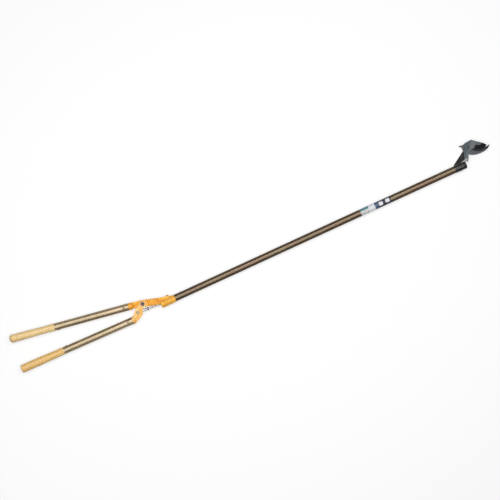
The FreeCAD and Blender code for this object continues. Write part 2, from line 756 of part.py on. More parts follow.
pad(socket, outline(socket, "arm_rib", [
    (-16.4, 13.2),
    (7.6, 35.2, "2.45"),
    (4.4, 38.8),
    (-19.6, 16.8, "2.45")]), f"-{HOOK_LOW} - 1", f"arm_rib_high - {HOOK_LOW}")
revolve(socket, outline(socket, "ferrule_bore", [
    ("-ferrule_length", 0),
    ("ferrule_overhang + 1", 0),
    ("ferrule_overhang + 1", POLE_R),
    ("-ferrule_length", POLE_R)]), "Groove")
cut(socket, box_outline(socket, "ferrule_slot", "-link_slot_back", 5, 0, "pole_od"), "slot_wide")
cut(socket, circle(socket, "socket_pivot_hole", P_X, P_Y, "head_bolt_d / 2"), 60)
cut(socket, circle(socket, "socket_hook_hole", *HOOK_RIVET, "hook_rivet_d / 2"), 60)
bore(socket, "socket_rivet_hole", "-ferrule_rivet_back", "ferrule_rivet_d / 2", "-pole_od", 0, "z")
bore(socket, "socket_side_hole", "-side_rivet_back", "ferrule_rivet_d / 2", "-pole_od", 0)
on_head(socket)


def ferrule_rivet(label, about):
    """A blind rivet through the ferrule and the pole's wall, with its head outside."""
    head = dome("ferrule_rivet_d / 2 + 1.8", FERRULE_R, 1.2)
    return turned(label, [
        (0, f"1 - {POLE_BORE}"),
        ("ferrule_rivet_d / 2", f"1 - {POLE_BORE}"),
        ("ferrule_rivet_d / 2", f"-{FERRULE_R}"),
        *[(radius, f"-({along})") for radius, along in head]], about)


place(ferrule_rivet("ferrule_rivet", "z"), f"{POLE_FRONT} - ferrule_rivet_back")
place(ferrule_rivet("side_rivet", "y"), f"{POLE_FRONT} - side_rivet_back")

plug = new_body("pole_plug")
revolve(plug, outline(plug, "plug_round", [
    (-4, 0),
    (-4, POLE_BORE),
    (0, POLE_BORE),
    (0, POLE_R),
    *[(along, radius) for radius, along in dome(POLE_R, "ferrule_overhang", 4.5)]]))
cut(plug, box_outline(plug, "plug_slot", -10, 20, -6, "pole_od"), "slot_wide")
on_head(plug)

# ---- Bypass jaws -------------------------------------------------------------------------

hook = new_body("hook_jaw")
pad(hook, outline(hook, "hook_outline", [
    (-18.5, -10.5),
    (-10, -21.5),
    (1.5, -29.5, "70"),
    (42.5, -38, "44"),
    (77.8, -24.2),
    (77.8, -22.9, "-60"),
    (41.5, -21.5, "-34"),
    (17.5, 1),
    (10, 14, "60"),
    (-13.5, 14.3),
    (-22.5, 17, "2.4"),
    (-24.2, 12.6),
    (-18.2, 8.5)]), f"-{HOOK_LOW}", f"-{HOOK_TOP}")
cut(hook, circle(hook, "hook_pivot_hole", 0, 0, "head_bolt_d / 2"), 60)
cut(hook, circle(hook, "hook_rivet_hole", "-hook_rivet_behind", "-hook_rivet_down",
                 "hook_rivet_d / 2"), 60)
revolve(hook, outline(hook, "hook_countersink", [
    (0, f"-{HOOK_TOP} - 1.5"),
    ("hook_rivet_d / 2", f"-{HOOK_TOP} - 1.5"),
    ("hook_rivet_d / 2 + 1.5", f"-{HOOK_TOP}"),
    (0, f"-{HOOK_TOP}")], "XZ_Plane", 0, ("-hook_rivet_behind", 0), "hook_rivet_down"),
    "Groove", "V_Axis")
on_blade_pivot(hook)

blade = new_body("cutting_blade")
pad(blade, outline(blade, "blade_outline", [
    (-24.5, -38),
    (-23, -43, "5"),
    (-16, -45.5),
    (-7.6, -30.9),
    (-4.5, -23.5, "-12"),
    (1, -17),
    (14.5, -10.5),
    (19, -14, "blade_grind_r"),
    (68.5, -20.5),
    (59.5, -9.5, "150"),
    (44.5, 2.5),
    (26.5, 18, "5"),
    (22.5, 19.3),
    (-2.4, 17.6),
    (-20.5, -18.5, "40")]), f"-{BLADE_BACK}", BLADE_BACK)
# The grind is a cone about the middle of the cutting edge's arc, over the arc's whole length.
edge_chord = Vector(68.5 - 19, 14 - 20.5, 0)
edge_rise = math.sqrt(value("blade_grind_r") ** 2 - (edge_chord.Length / 2) ** 2)
edge_middle = Vector(19, -14, 0) + edge_chord / 2
edge_middle += Vector(-edge_chord.y, edge_chord.x, 0).normalize() * edge_rise
grind_slope = "(blade_thick - blade_edge) / blade_grind"
grind = revolve(blade, outline(blade, "grind", [
    ("blade_grind - blade_grind_r", BLADE_BACK),
    ("-blade_grind_r - 2", f"{BLADE_BACK} - {grind_slope} * (blade_grind + 2)"),
    ("-blade_grind_r - 2", f"{BLADE_BACK} + 1"),
    ("blade_grind - blade_grind_r", f"{BLADE_BACK} + 1")],
    "YZ_Plane", 0, (edge_middle.y, 0), edge_middle.x), "Groove", "V_Axis")
grind.Midplane = True
grind.Angle = 104
cut(blade, circle(blade, "blade_bore", 0, 0, "head_bolt_d / 2 + turning_gap"), 60)
cut(blade, circle(blade, "tang_bore", "-tang_pin_behind", "-tang_pin_down",
                  "rod_pin_d / 2 + turning_gap"), 60)
on_blade_pivot(blade)

# The washer lies as far above the blade as the hook lies below it.
BOLT_SEAT = f"({HOOK_TOP} + washer_thick)"
on_blade_pivot(sleeve("blade_washer", "head_bolt_d / 2", "head_washer_r", HOOK_TOP, BOLT_SEAT, "z"))
on_blade_pivot(turned("blade_bolt", [
    (0, f"-{ARM_LOW} - head_nut - 0.4"),
    ("head_bolt_d / 2 - 0.4", f"-{ARM_LOW} - head_nut - 0.4"),
    ("head_bolt_d / 2", f"-{ARM_LOW} - head_nut"),
    ("head_bolt_d / 2", BOLT_SEAT),
    ("head_bolt_head_r", BOLT_SEAT),
    *dome("head_bolt_head_r", f"{BOLT_SEAT} + 1", "head_bolt_head - 1")], "z"))
hook_rivet = turned("hook_rivet", [
    (0, f"-{ARM_LOW} - 1.5"),
    ("hook_rivet_d / 2 + 0.6", f"-{ARM_LOW} - 1.5"),
    ("hook_rivet_d / 2 + 1.6", f"-{ARM_LOW}"),
    ("hook_rivet_d / 2", f"-{ARM_LOW}"),
    ("hook_rivet_d / 2", f"-{HOOK_TOP} - 1.5"),
    ("hook_rivet_d / 2 + 1.5", f"-{HOOK_TOP}"),
    (0, f"-{HOOK_TOP}")], "z")
place(hook_rivet, f"{POLE_FRONT} + {HOOK_RIVET[0]}", HOOK_RIVET[1])
on_blade_pivot(hex_nut("blade_nut", "pivot_flats", "head_bolt_d / 2",
                       f"-{ARM_LOW} - head_nut", f"-{ARM_LOW}"))

# ---- Front link --------------------------------------------------------------------------

TANG_X = "(blade_pivot_ahead - tang_pin_behind)"
TANG_Y = "(blade_pivot_up - tang_pin_down)"
STRAP_LENGTH = f"sqrt(({TANG_X} + rod_front_behind) ^ 2 + {TANG_Y} ^ 2)"
strap_turn = math.degrees(math.asin(value(TANG_Y) / value(STRAP_LENGTH)))
STRAP_IN = HOOK_TOP
STRAP_OUT = f"({STRAP_IN} + strap_thick)"


def on_strap(body):
    return place(body, ROD_FRONT, 0, 0, strap_turn)


for label, low, high in (("link_strap_upper", STRAP_IN, STRAP_OUT),
                         ("link_strap_lower", f"-{STRAP_OUT}", f"-{STRAP_IN}")):
    strap = new_body(label)
    pad(strap, outline(strap, f"{label}_outline", [
        (0, "-strap_high / 2"),
        (STRAP_LENGTH, "-strap_high / 2", "strap_high / 2"),
        (f"{STRAP_LENGTH} + strap_high / 2", 0, "strap_high / 2"),
        (STRAP_LENGTH, "strap_high / 2"),
        (0, "strap_high / 2", "strap_high / 2"),
        ("-strap_high / 2", 0, "strap_high / 2")]), low, high)
    for name, along in (("rear", 0), ("front", STRAP_LENGTH)):
        cut(strap, circle(strap, f"{label}_{name}_hole", along, 0, "rod_pin_d / 2"), 40)
    on_strap(strap)


def link_rivet(label):
    return both_ends(label, [
        ("rod_pin_d / 2", STRAP_OUT),
        *dome("rod_pin_d / 2 + 1.5", STRAP_OUT, "rivet_head")])


on_strap(link_rivet("rod_end_rivet"))
place(link_rivet("tang_rivet"), f"{POLE_FRONT} + {TANG_X}", TANG_Y)

# ---- Check and write ---------------------------------------------------------------------

doc.recompute()
for item in doc.Objects:
    if "Invalid" in item.State or "Error" in item.State:
        raise RuntimeError(f"{item.Name} failed: {item.State}")

low = Vector(*(min(getattr(body.Shape.optimalBoundingBox(), edge) for body in parts)
               for edge in ("XMin", "YMin", "ZMin")))
high = Vector(*(max(getattr(body.Shape.optimalBoundingBox(), edge) for body in parts)
                for edge in ("XMax", "YMax", "ZMax")))
origin = Vector((low.x + high.x) / 2, (low.y + high.y) / 2, low.z)
for body in parts:
    body.Placement.Base = body.Placement.Base - origin
doc.recompute()

for body in parts:
    if body.Shape.isNull() or not body.Shape.isValid() or not body.Shape.Solids:
        raise RuntimeError(f"{body.Label} has no valid shape")
    body.Shape.exportStep(f"parts/{body.Label}.step")
print(f"{len(parts)} parts, {high.x - low.x:.1f} x {high.y - low.y:.1f} x {high.z - low.z:.1f} mm")
print(f"the bracket's lip lies at {-origin.x:.3f}, {-origin.y:.3f}, {-origin.z:.3f}")
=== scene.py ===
import json
import math

import bmesh
import bpy
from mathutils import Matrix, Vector

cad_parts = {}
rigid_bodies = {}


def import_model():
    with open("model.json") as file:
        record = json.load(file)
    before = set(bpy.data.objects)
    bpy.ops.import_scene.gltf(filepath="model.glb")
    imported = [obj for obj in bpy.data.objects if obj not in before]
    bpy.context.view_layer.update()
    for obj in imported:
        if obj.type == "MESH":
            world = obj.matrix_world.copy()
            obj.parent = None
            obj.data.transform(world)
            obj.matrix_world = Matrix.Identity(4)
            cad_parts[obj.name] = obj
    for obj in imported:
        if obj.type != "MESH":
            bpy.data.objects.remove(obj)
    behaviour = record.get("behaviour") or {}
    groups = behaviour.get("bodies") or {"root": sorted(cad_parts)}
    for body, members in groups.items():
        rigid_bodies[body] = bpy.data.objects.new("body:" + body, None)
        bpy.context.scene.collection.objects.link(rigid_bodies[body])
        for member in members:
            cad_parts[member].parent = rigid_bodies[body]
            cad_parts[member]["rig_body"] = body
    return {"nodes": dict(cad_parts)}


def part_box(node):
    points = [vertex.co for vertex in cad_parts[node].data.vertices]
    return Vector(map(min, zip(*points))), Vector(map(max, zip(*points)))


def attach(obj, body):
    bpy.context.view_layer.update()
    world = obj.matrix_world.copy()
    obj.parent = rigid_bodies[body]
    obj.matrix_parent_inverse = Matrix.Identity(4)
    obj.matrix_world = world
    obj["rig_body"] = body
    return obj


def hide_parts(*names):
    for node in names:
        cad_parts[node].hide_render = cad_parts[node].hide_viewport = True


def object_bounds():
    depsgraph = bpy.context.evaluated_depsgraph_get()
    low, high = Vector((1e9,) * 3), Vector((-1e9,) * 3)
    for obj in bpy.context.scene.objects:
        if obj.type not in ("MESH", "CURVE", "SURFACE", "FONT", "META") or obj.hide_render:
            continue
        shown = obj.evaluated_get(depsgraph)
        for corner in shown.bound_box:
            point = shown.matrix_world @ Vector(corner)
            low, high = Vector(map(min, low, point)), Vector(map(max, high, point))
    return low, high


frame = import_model()
cad_low, cad_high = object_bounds()

# ---- Studio ------------------------------------------------------------------------------
# The tool lies flat on a wide white table. It is seen from straight above through a long lens,
# with the head at the upper right, between two long lamps hung beside the pole.

CAMERA_HEIGHT = 9.0
VIEW_WIDTH = 1.785
POLE_LEAN = math.radians(24.67)
VIEW_CENTRE = (-0.0079, -0.0064)

camera_data = bpy.data.cameras.new("long_lens")
camera_data.sensor_width = 36
camera_data.lens = camera_data.sensor_width * CAMERA_HEIGHT / VIEW_WIDTH
camera_data.clip_end = 100
camera = bpy.data.objects.new("camera", camera_data)
camera.location = (*VIEW_CENTRE, (cad_low.z + cad_high.z) / 2 + CAMERA_HEIGHT)
camera.rotation_euler = (0, 0, -POLE_LEAN)
bpy.context.scene.collection.objects.link(camera)
bpy.context.scene.camera = camera
bpy.context.scene.view_settings.view_transform = "Standard"


def add_node(material, kind, inputs=None, **settings):
    """Add a node, set its fields, and link or set each named or numbered input."""
    node = material.node_tree.nodes.new(kind)
    for field, setting in settings.items():
        setattr(node, field, setting)
    for socket, given in (inputs or {}).items():
        if isinstance(given, bpy.types.NodeSocket):
            material.node_tree.links.new(given, node.inputs[socket])
        else:
            node.inputs[socket].default_value = given
    return node


TABLE_GLOW = 0.72
TABLE_DIFFUSE = 0.3

table_white = bpy.data.materials.new("table_white")
table_white.use_nodes = True
table_white.node_tree.nodes.clear()
ray = add_node(table_white, "ShaderNodeLightPath").outputs
seen = add_node(table_white, "ShaderNodeMath", {0: ray["Is Camera Ray"], 1: ray["Is Glossy Ray"]},
                operation="MAXIMUM")
seen = add_node(table_white, "ShaderNodeMath", {0: seen.outputs[0], 1: ray["Is Transmission Ray"]},
                operation="MAXIMUM")
glow = add_node(table_white, "ShaderNodeMath", {0: seen.outputs[0], 1: TABLE_GLOW},
                operation="MULTIPLY")
paper = add_node(table_white, "ShaderNodeBsdfDiffuse", {"Color": (*[TABLE_DIFFUSE] * 3, 1)})
light = add_node(table_white, "ShaderNodeEmission", {"Strength": glow.outputs[0]})
both = add_node(table_white, "ShaderNodeAddShader", {0: paper.outputs[0], 1: light.outputs[0]})
add_node(table_white, "ShaderNodeOutputMaterial", {"Surface": both.outputs[0]})

TABLE_HALF = 40
table_mesh = bpy.data.meshes.new("table")
table_mesh.from_pydata([(-TABLE_HALF, -TABLE_HALF, 0), (TABLE_HALF, -TABLE_HALF, 0),
                        (TABLE_HALF, TABLE_HALF, 0), (-TABLE_HALF, TABLE_HALF, 0)],
                       [], [(0, 1, 2, 3)])
table_mesh.materials.append(table_white)
table = bpy.data.objects.new("table", table_mesh)
bpy.context.scene.collection.objects.link(table)

LAMP_SIZE = (3.4, 0.5)
LAMP_HEIGHT = 2.2
for lamp_name, aside, watts in (("lamp_far", 0.8, 41), ("lamp_near", -0.75, 29)):
    lamp_data = bpy.data.lights.new(lamp_name, "AREA")
    lamp_data.shape = "RECTANGLE"
    lamp_data.size, lamp_data.size_y = LAMP_SIZE
    lamp_data.energy = watts
    lamp = bpy.data.objects.new(lamp_name, lamp_data)
    lamp.location = (0, aside, LAMP_HEIGHT)
    lamp.rotation_euler = (-math.atan2(aside, LAMP_HEIGHT), 0, 0)
    bpy.context.scene.collection.objects.link(lamp)

world = bpy.data.worlds.new("pale_room")
world.use_nodes = True
world.node_tree.nodes["Background"].inputs["Color"].default_value = (0.07, 0.07, 0.075, 1)
bpy.context.scene.world = world

# ---- Pole --------------------------------------------------------------------------------
# A drawn aluminium tube, satin anodised in dark bronze. The drawing leaves faint lines along
# it, and the colour drifts a little between olive and pink, as anodised lengths do.


def new_finish(name, colour, metallic, roughness, **sockets):
    """A finish whose plain numbers sit on the shader itself."""
    material = bpy.data.materials.new(name)
    material.use_nodes = True
    shader = material.node_tree.nodes["Principled BSDF"]
    shader.inputs["Base Color"].default_value = (*colour, 1)
    shader.inputs["Metallic"].default_value = metallic
    shader.inputs["Roughness"].default_value = roughness
    for socket, number in sockets.items():
        shader.inputs[socket.replace("_", " ")].default_value = number
    return material


def feed(material, socket, output):
    """Link an output to one of the finish's own shader sockets."""
    shader = material.node_tree.nodes["Principled BSDF"]
    material.node_tree.links.new(output, shader.inputs[socket])


def place_on(material):
    """Coordinates in metres on the piece that wears the finish."""
    return add_node(material, "ShaderNodeTexCoord").outputs["Object"]


def along_axis(material, root, turn):
    """Coordinates in metres from a point on a bar's axis, with X along the bar."""
    place = place_on(material)
    return add_node(material, "ShaderNodeMapping", {
        "Vector": place, "Location": root, "Rotation": (0, 0, turn)},
        vector_type="TEXTURE").outputs[0]


def noise(material, vector, squeeze, detail=3.0):
    """Noise over coordinates that are multiplied by squeeze, per metre, along each axis."""
    scaled = add_node(material, "ShaderNodeVectorMath", {0: vector, 1: squeeze},
                      operation="MULTIPLY").outputs[0]
    return add_node(material, "ShaderNodeTexNoise", {
        "Vector": scaled, "Scale": 1.0, "Detail": detail}).outputs["Fac"]


def shades(material, factor, *stops):
    """Colours along a ramp, each stop a place from 0 to 1 and a colour."""
    node = add_node(material, "ShaderNodeValToRGB", {"Fac": factor})
    ramp = node.color_ramp
    while len(ramp.elements) < len(stops):
        ramp.elements.new(0.5)
    for element, (place, colour) in zip(ramp.elements, stops):
        element.position = place
        element.color = (*colour, 1)
    return node.outputs["Color"]


def between(material, factor, low, high):
    """A number that runs from low to high as the factor runs from 0 to 1."""
    return add_node(material, "ShaderNodeMapRange", {
        "Value": factor, "To Min": low, "To Max": high}).outputs["Result"]


def relief(material, height, depth):
    """Raise the surface by a height map, depth in metres from its 0 to its 1."""
    bump = add_node(material, "ShaderNodeBump", {
        "Height": height, "Distance": depth, "Strength": 1.0})
    feed(material, "Normal", bump.outputs["Normal"])


pole_low, pole_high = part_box("main_pole")
POLE_R = (pole_high.z - pole_low.z) / 2
AXIS_Y = (pole_low.y + pole_high.y) / 2
AXIS_Z = (pole_low.z + pole_high.z) / 2


def anodised(name, root, turn, dark, mid, light, edge, roughness):
    """Satin anodised drawn tube: faint lines along it and a slow drift of colour."""
    tube = new_finish(name, mid, 1.0, roughness, Specular_Tint=(*edge, 1))
    bar = along_axis(tube, root, turn)
    drift = noise(tube, bar, (16, 14, 14), 2)
    lines = noise(tube, bar, (3, 1500, 1500), 4)
    tone = add_node(tube, "ShaderNodeMix", {"Factor": 0.12, 2: drift, 3: lines}).outputs[0]
    feed(tube, "Base Color", shades(tube, tone, (0.3, dark), (0.5, mid), (0.7, light)))
    feed(tube, "Roughness", between(tube, lines, roughness - 0.03, roughness + 0.03))
    relief(tube, lines, 0.000006)
    return tube


def dress(nodes, material):
    """Give CAD nodes a finish in place of their packed one."""
    for name in nodes:
        frame["nodes"][name].material_slots[0].material = material


bronze = anodised("bronze_anodised", (0, AXIS_Y, AXIS_Z), 0,
                  (0.205, 0.134, 0.098), (0.186, 0.137, 0.092), (0.196, 0.158, 0.100),
                  (0.0, 0.0, 0.0), 0.39)
dress(["main_pole"], bronze)

# ---- Label ---------------------------------------------------------------------------------
# A printed film wraps the pole near its front end: teal over pale grey, then white, then navy.
# Its two characters are left off, as blank white squares with rounded corners.

LABEL_BEHIND = 0.2915
LABEL_LONG = 0.1185
FILM = 0.00015
LABEL_SIDES = 96
TEAL_FROM = 0.0035
WHITE_FROM = 0.032
BLUE_FROM = 0.056
NAVY_FROM = 0.068
BLANKS = ((0.079, 0.0005), (0.105, 0.0015))
BLANK_HALF = 0.0072
BLANK_CORNER = 0.0022

label_x = (pole_high.x - LABEL_BEHIND - LABEL_LONG, pole_high.x - LABEL_BEHIND)
film_mesh = bpy.data.meshes.new("label_film")
rim = [(math.cos(turn) * (POLE_R + FILM), math.sin(turn) * (POLE_R + FILM))
       for turn in (2 * math.pi * side / LABEL_SIDES for side in range(LABEL_SIDES))]
film_mesh.from_pydata([(x, AXIS_Y + across, AXIS_Z + up) for x in label_x for across, up in rim], [],
                      [(side, (side + 1) % LABEL_SIDES, LABEL_SIDES + (side + 1) % LABEL_SIDES,
                        LABEL_SIDES + side) for side in range(LABEL_SIDES)])
film_mesh.shade_smooth()
label = bpy.data.objects.new("label_film", film_mesh)
bpy.context.scene.collection.objects.link(label)
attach(label, "frame")


def math_node(material, operation, *values, clamp=False):
    """One sum on numbers or outputs."""
    node = add_node(material, "ShaderNodeMath", dict(enumerate(values)), operation=operation)
    node.use_clamp = clamp
    return node.outputs[0]


def beyond(material, number, edge, blur=0.0003):
    """0 below an edge and 1 above it, over a narrow blur."""
    return add_node(material, "ShaderNodeMapRange", {
        "Value": number, "From Min": edge - blur, "From Max": edge + blur}).outputs["Result"]


def overlay(material, base, colour, mask):
    """Lay a colour over another where the mask is 1."""
    return add_node(material, "ShaderNodeMix", {"Factor": mask, 6: base, 7: (*colour, 1)},
                    data_type="RGBA").outputs[2]


print_film = new_finish("print_film", (0.02, 0.04, 0.12), 0.0, 0.3)
film_place = add_node(print_film, "ShaderNodeSeparateXYZ", {0: place_on(print_film)}).outputs
along = math_node(print_film, "SUBTRACT", film_place["X"], label_x[0])
aside = math_node(print_film, "SUBTRACT", film_place["Y"], AXIS_Y)
above = math_node(print_film, "SUBTRACT", film_place["Z"], AXIS_Z)
round_angle = math_node(print_film, "ARCTAN2", aside, above)
round_way = math_node(print_film, "MULTIPLY", round_angle, POLE_R)
tone = overlay(print_film, (0.60, 0.62, 0.60, 1), (0.10, 0.24, 0.28),
               beyond(print_film, round_way, TEAL_FROM))
tone = overlay(print_film, tone, (0.74, 0.76, 0.79), beyond(print_film, along, WHITE_FROM))
tone = overlay(print_film, tone, (0.060, 0.105, 0.20), beyond(print_film, along, BLUE_FROM))
tone = overlay(print_film, tone, (0.013, 0.018, 0.045), beyond(print_film, along, NAVY_FROM, 0.004))


def rounded_square(material, middle, half, corner):
    """1 inside a square with rounded corners on the film."""
    outside = []
    for way, place in zip((along, round_way), middle):
        apart = math_node(material, "ABSOLUTE", math_node(material, "SUBTRACT", way, place))
        over = math_node(material, "MAXIMUM", math_node(material, "SUBTRACT", apart, half - corner), 0.0)
        outside.append(math_node(material, "MULTIPLY", over, over))
    reach = math_node(material, "SQRT", math_node(material, "ADD", *outside))
    return math_node(material, "SUBTRACT", 1.0, beyond(material, reach, corner, 0.0002))


for middle in BLANKS:
    tone = overlay(print_film, tone, (0.80, 0.79, 0.80),
                   rounded_square(print_film, middle, BLANK_HALF, BLANK_CORNER))
scuff = noise(print_film, place_on(print_film), (200, 500, 500), 4)
worn = add_node(print_film, "ShaderNodeMix", {"Factor": between(print_film, scuff, 0.0, 0.07), 6: tone,
                                              7: (0.45, 0.42, 0.38, 1)}, data_type="RGBA").outputs[2]
feed(print_film, "Base Color", worn)
feed(print_film, "Roughness", between(print_film, scuff, 0.22, 0.42))
film_mesh.materials.append(print_film)

# ---- Fittings in the pole ------------------------------------------------------------------
# Acetal guide bushes, pressed in along the pole, carry the bright drawn rod. The moulded black
# plug closes the pole's front end.

acetal = new_finish("guide_plastic", (0.70, 0.69, 0.64), 0.0, 0.45)
grain = noise(acetal, place_on(acetal), (300,) * 3)
feed(acetal, "Base Color", shades(acetal, grain, (0.3, (0.66, 0.65, 0.60)), (0.7, (0.74, 0.73, 0.68))))
dress([name for name in frame["nodes"] if name.startswith("rod_bush")], acetal)


def drawn_steel(name, root, turn, dark, light, roughness):
    """Bright drawn bar: clean steel with fine lines along it."""
    steel = new_finish(name, light, 1.0, roughness)
    lines = noise(steel, along_axis(steel, root, turn), (12, 2500, 2500), 4)
    feed(steel, "Base Color", shades(steel, lines, (0.35, dark), (0.65, light)))
    feed(steel, "Roughness", between(steel, lines, roughness - 0.08, roughness + 0.1))
    relief(steel, lines, 0.00001)
    return steel


bright = drawn_steel("bright_rod", (0, AXIS_Y, AXIS_Z), 0, (0.44, 0.44, 0.44), (0.62, 0.62, 0.63), 0.26)
dress(["pull_rod", "rod_clevis", "clevis_pin", "rod_eye"], bright)

black_plug = new_finish("end_plastic", (0.02, 0.02, 0.02), 0.0, 0.42)
grain = noise(black_plug, place_on(black_plug), (1200,) * 3)
feed(black_plug, "Roughness", between(black_plug, grain, 0.34, 0.5))
relief(black_plug, grain, 0.00004)
dress(["pole_plug"], black_plug)

# ---- Castings ------------------------------------------------------------------------------
# The fixed bracket and the lever are die-cast aluminium with a thick gloss orange coat. The
# coat is darkened in the corners as painted shade. The lever's coat is paler as a painted highlight.


def gloss_coat(name, deep, mid, pale):
    """A thick gloss coat: a slow drift of colour, painted shade in the corners, faint orange peel."""
    coat = new_finish(name, mid, 0.12, 0.36, Coat_Weight=0.12, Coat_Roughness=0.22)
    place = place_on(coat)
    cloud = noise(coat, place, (45, 45, 45), 3)
    body_tone = shades(coat, cloud, (0.3, deep), (0.5, mid), (0.7, pale))
    # Painted shade: concave corners, found by pointiness, are darkened.
    corner_shade_tone = shades(coat, add_node(coat, "ShaderNodeNewGeometry").outputs["Pointiness"],
                       (0.44, (0.42, 0.34, 0.30)), (0.495, (1.0, 1.0, 1.0)), (0.52, (1.0, 1.0, 1.0)))
    tone = add_node(coat, "ShaderNodeMix", {"Factor": 1.0, 6: body_tone, 7: corner_shade_tone},
                    data_type="RGBA", blend_type="MULTIPLY")
    feed(coat, "Base Color", tone.outputs[2])
    feed(coat, "Roughness", between(coat, cloud, 0.30, 0.44))
    relief(coat, noise(coat, place, (420, 420, 420), 1), 0.00003)
    return coat


bracket_coat = gloss_coat("orange_bracket", (0.84, 0.31, 0.012), (0.93, 0.43, 0.036), (0.98, 0.55, 0.085))
# Painted highlight: the lever's paler colours stand in for the light on its flat faces.
lever_coat_painted_highlight = gloss_coat("orange_lever_painted_highlight", (0.86, 0.41, 0.07), (0.95, 0.53, 0.15), (1.0, 0.67, 0.28))

SAME_PLACE = 0.00001
SKIN_GRAIN = 0.0006
SKIN_ROUNDS = 5


def soften(name, voxel, rounds, material):
    """Stand a skin with rounded corners in for a CAD node, as thick coats and castings have."""
    source = frame["nodes"][name]
    skin = source.data.copy()
    skin.name = f"{name}_skin"
    piece = bpy.data.objects.new(f"{name}_skin", skin)
    bpy.context.scene.collection.objects.link(piece)
    mesh = bmesh.new()
    mesh.from_mesh(skin)
    bmesh.ops.remove_doubles(mesh, verts=mesh.verts, dist=SAME_PLACE)
    mesh.to_mesh(skin)
    mesh.free()
    remesh = piece.modifiers.new("cast", "REMESH")
    remesh.mode = "VOXEL"
    remesh.voxel_size = voxel
    remesh.use_smooth_shade = True
    smooth = piece.modifiers.new("soft", "SMOOTH")
    smooth.factor = 0.5
    smooth.iterations = rounds
    made = bpy.data.meshes.new_from_object(piece.evaluated_get(bpy.context.evaluated_depsgraph_get()))
    piece.modifiers.clear()
    piece.data = made
    made.materials.clear()
    made.materials.append(material)
    made.shade_smooth()
    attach(piece, source["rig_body"])
    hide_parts(name)
    return piece


soften("fixed_bracket", SKIN_GRAIN, SKIN_ROUNDS, bracket_coat)
soften("lever_casting", SKIN_GRAIN, SKIN_ROUNDS, lever_coat_painted_highlight)

# ---- Handle tubes --------------------------------------------------------------------------
# Lighter than the pole: drawn aluminium anodised in champagne, riveted onto the castings'
# spigots. Each lies along its own handle, so each has its own finish.

tube_low, tube_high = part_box("fixed_tube")
FIXED_ANGLE = math.radians(-9.34)
LEVER_ANGLE = math.radians(-1.0)
fixed_root = Vector(((tube_low.x + tube_high.x) / 2, (tube_low.y + tube_high.y) / 2, AXIS_Z))
lever_low, lever_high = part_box("lever_tube")
lever_root = Vector(((lever_low.x + lever_high.x) / 2, (lever_low.y + lever_high.y) / 2, AXIS_Z))
CHAMPAGNE = ((0.42, 0.335, 0.21), (0.49, 0.39, 0.25), (0.56, 0.44, 0.30), (0.1, 0.09, 0.07), 0.47)
dress(["fixed_tube"], anodised("champagne_fixed", fixed_root, FIXED_ANGLE, *CHAMPAGNE))
dress(["lever_tube"], anodised("champagne_lever", lever_root, LEVER_ANGLE, *CHAMPAGNE))

# ---- Grips ---------------------------------------------------------------------------------
# Turned from straight-grained pale wood and clear lacquered. The grain runs lengthwise with
# short dark flecks, and rings show on the ends.

FROM_HEART = (0, 0.031, -0.022)
RING_STEP = 0.0042
RING_WANDER = 0.006


def turned_wood(name, root, turn, pale, mid, deep):
    """Lacquered wood along a bar: growth rings, long streaks and short dark flecks."""
    wood = new_finish(name, mid, 0.0, 0.42, Coat_Weight=0.35, Coat_Roughness=0.2)
    bar = along_axis(wood, root, turn)
    off_heart = add_node(wood, "ShaderNodeVectorMath", {0: bar, 1: FROM_HEART},
                         operation="ADD").outputs[0]
    wander = noise(wood, bar, (9, 60, 60), 3)
    streak = noise(wood, bar, (5, 260, 260), 2)
    bent = add_node(wood, "ShaderNodeVectorMath", {0: off_heart, 1: (0, 1, 1)},
                    operation="MULTIPLY").outputs[0]
    radius = add_node(wood, "ShaderNodeVectorMath", {0: bent}, operation="LENGTH").outputs["Value"]
    shifted = add_node(wood, "ShaderNodeMath", {0: wander, 1: RING_WANDER, 2: radius},
                       operation="MULTIPLY_ADD").outputs[0]
    turns = add_node(wood, "ShaderNodeMath", {0: shifted, 1: 2 * math.pi / RING_STEP},
                     operation="MULTIPLY").outputs[0]
    wave = add_node(wood, "ShaderNodeMath", {0: turns}, operation="SINE").outputs[0]
    rings = add_node(wood, "ShaderNodeMapRange", {
        "Value": wave, "From Min": -1.0, "To Min": 0.0, "To Max": 1.0}).outputs["Result"]
    pores = noise(wood, bar, (45, 1100, 1100), 2)
    fleck = add_node(wood, "ShaderNodeMath", {0: pores, 1: 0.62}, operation="GREATER_THAN").outputs[0]
    figure = add_node(wood, "ShaderNodeMix", {"Factor": 0.55, 2: rings, 3: streak}).outputs[0]
    tone = shades(wood, figure, (0.2, pale), (0.5, mid), (0.8, deep))
    flecked = add_node(wood, "ShaderNodeMix", {
        "Factor": add_node(wood, "ShaderNodeMath", {0: fleck, 1: 0.12}, operation="MULTIPLY").outputs[0],
        6: tone, 7: (0.46, 0.26, 0.09, 1)}, data_type="RGBA").outputs[2]
    feed(wood, "Base Color", flecked)
    feed(wood, "Roughness", between(wood, pores, 0.38, 0.46))
    relief(wood, pores, 0.000012)
    return wood


PALE_WOOD = ((0.98, 0.77, 0.39), (0.92, 0.66, 0.29), (0.76, 0.47, 0.17))
GOLD_WOOD = ((0.96, 0.66, 0.26), (0.89, 0.55, 0.18), (0.70, 0.38, 0.10))
dress(["fixed_grip"], turned_wood("beech_fixed", fixed_root, FIXED_ANGLE, *PALE_WOOD))
dress(["lever_grip"], turned_wood("beech_lever", lever_root, LEVER_ANGLE, *GOLD_WOOD))

# ---- Fasteners -----------------------------------------------------------------------------
# Zinc-plated steel, cool and slightly cloudy: the washers of the handles' pivot, the link pin
# and its clip, the blade's nut and the plain rivets.


